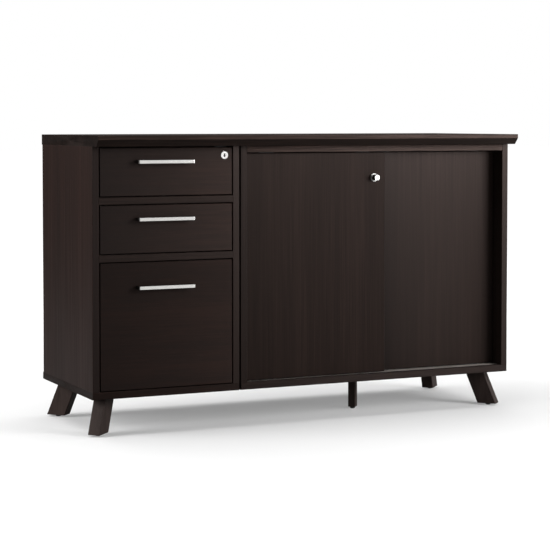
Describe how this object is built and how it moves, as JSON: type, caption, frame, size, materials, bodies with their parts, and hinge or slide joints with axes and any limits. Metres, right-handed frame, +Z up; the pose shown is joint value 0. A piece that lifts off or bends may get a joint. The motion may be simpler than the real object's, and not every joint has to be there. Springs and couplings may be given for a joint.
{
  "type": "credenza",
  "caption": "Office credenza: lockable drawers beside sliding doors under one overhanging worktop, on splayed legs.",
  "frame": {"origin": "middle of the footprint, on the floor", "axes": "+X along the worktop to the right as seen from the front, -Y towards the front, +Z up"},
  "size_m": [1.2, 0.457, 0.75],
  "materials": {
    "dark_laminate": "satin espresso wood-grain laminate",
    "stained_wood": "satin espresso stain on solid wood",
    "back_board": "dark printed hardboard",
    "drawer_box": "clear-lacquered birch ply",
    "drawer_tray": "clear-lacquered thin ply",
    "satin_metal": "satin",
    "zinc_steel": "zinc plated",
    "black_steel": "black painted",
    "lock_metal": "satin nickel plated",
    "track_plastic": "dark brown extrusion",
    "guide_plastic": "black nylon",
    "glide_plastic": "black nylon"
  },
  "bodies": {
    "carcass": {"worktop": "dark_laminate", "pedestal_left_side": "dark_laminate", "pedestal_right_side": "dark_laminate", "pedestal_bottom": "dark_laminate", "upper_rail": "dark_laminate", "lower_rail": "dark_laminate", "pedestal_stretchers": "dark_laminate", "pedestal_back": "back_board", "cabinet_left_side": "dark_laminate", "cabinet_right_side": "dark_laminate", "cabinet_bottom": "dark_laminate", "cabinet_top": "dark_laminate", "cabinet_back": "back_board", "shelf": "dark_laminate", "shelf_pins": "zinc_steel", "upper_door_track": "track_plastic", "lower_door_track": "track_plastic", "front_left_leg": "stained_wood", "front_right_leg": "stained_wood", "rear_left_leg": "stained_wood", "rear_right_leg": "stained_wood", "support_post": "stained_wood", "glides": "glide_plastic", "leg_bolts": "zinc_steel", "module_connectors": "zinc_steel", "runner_side_members": "zinc_steel", "drawer_lock_strike": "black_steel"},
    "top_drawer": {"top_drawer_front": "dark_laminate", "top_drawer_sides": "drawer_box", "top_drawer_back": "drawer_box", "top_drawer_bottom": "drawer_tray", "top_drawer_handle": "satin_metal", "top_drawer_box_members": "zinc_steel", "drawer_lock_barrel": "lock_metal"},
    "top_drawer_runner": {"top_drawer_middle_members": "zinc_steel"},
    "middle_drawer": {"middle_drawer_front": "dark_laminate", "middle_drawer_sides": "drawer_box", "middle_drawer_back": "drawer_box", "middle_drawer_bottom": "drawer_tray", "middle_drawer_handle": "satin_metal", "middle_drawer_box_members": "zinc_steel"},
    "middle_drawer_runner": {"middle_drawer_middle_members": "zinc_steel"},
    "file_drawer": {"file_drawer_front": "dark_laminate", "file_drawer_sides": "drawer_box", "file_drawer_back": "drawer_box", "file_drawer_bottom": "drawer_tray", "file_drawer_handle": "satin_metal", "file_drawer_box_members": "zinc_steel", "file_rails": "zinc_steel"},
    "file_drawer_runner": {"file_drawer_middle_members": "zinc_steel"},
    "drawer_lock": {"drawer_lock_plug": "lock_metal", "drawer_lock_cam": "zinc_steel"},
    "left_door": {"left_door": "dark_laminate", "left_door_guides": "guide_plastic", "door_lock_housing": "lock_metal"},
    "right_door": {"right_door": "dark_laminate", "right_door_guides": "guide_plastic", "door_lock_keeper": "zinc_steel"},
    "door_lock_plunger": {"door_lock_plunger": "lock_metal"},
    "door_lock_plug": {"door_lock_plug": "lock_metal"}
  },
  "joints": [
    {"name": "top_drawer_slide", "type": "slide", "parent": "carcass", "child": "top_drawer", "axis": [0, -1, 0], "range_m": [0, 0.33]},
    {"name": "top_drawer_runner_slide", "type": "slide", "parent": "carcass", "child": "top_drawer_runner", "axis": [0, -1, 0], "range_m": [0, 0.17]},
    {"name": "middle_drawer_slide", "type": "slide", "parent": "carcass", "child": "middle_drawer", "axis": [0, -1, 0], "range_m": [0, 0.33]},
    {"name": "middle_drawer_runner_slide", "type": "slide", "parent": "carcass", "child": "middle_drawer_runner", "axis": [0, -1, 0], "range_m": [0, 0.17]},
    {"name": "file_drawer_slide", "type": "slide", "parent": "carcass", "child": "file_drawer", "axis": [0, -1, 0], "range_m": [0, 0.33]},
    {"name": "file_drawer_runner_slide", "type": "slide", "parent": "carcass", "child": "file_drawer_runner", "axis": [0, -1, 0], "range_m": [0, 0.17]},
    {"name": "drawer_lock_turn", "type": "hinge", "parent": "top_drawer", "child": "drawer_lock", "pos_m": [-0.2465, -0.17, 0.699], "axis": [0, 1, 0], "range_deg": [0, 90]},
    {"name": "left_door_slide", "type": "slide", "parent": "carcass", "child": "left_door", "axis": [1, 0, 0], "range_m": [0, 0.35]},
    {"name": "right_door_slide", "type": "slide", "parent": "carcass", "child": "right_door", "axis": [-1, 0, 0], "range_m": [0, 0.35]},
    {"name": "door_lock_press", "type": "slide", "parent": "left_door", "child": "door_lock_plunger", "axis": [0, 1, 0], "range_m": [0, 0.007], "stiffness_N_per_m": 200, "springref_m": -0.003},
    {"name": "door_lock_turn", "type": "hinge", "parent": "door_lock_plunger", "child": "door_lock_plug", "pos_m": [0.195, -0.17, 0.636], "axis": [0, 1, 0], "range_deg": [0, 90]}
  ],
  "couplings": [
    {"joint": "top_drawer_runner_slide", "follows": "top_drawer_slide", "ratio": 0.5},
    {"joint": "middle_drawer_runner_slide", "follows": "middle_drawer_slide", "ratio": 0.5},
    {"joint": "file_drawer_runner_slide", "follows": "file_drawer_slide", "ratio": 0.5}
  ]
}
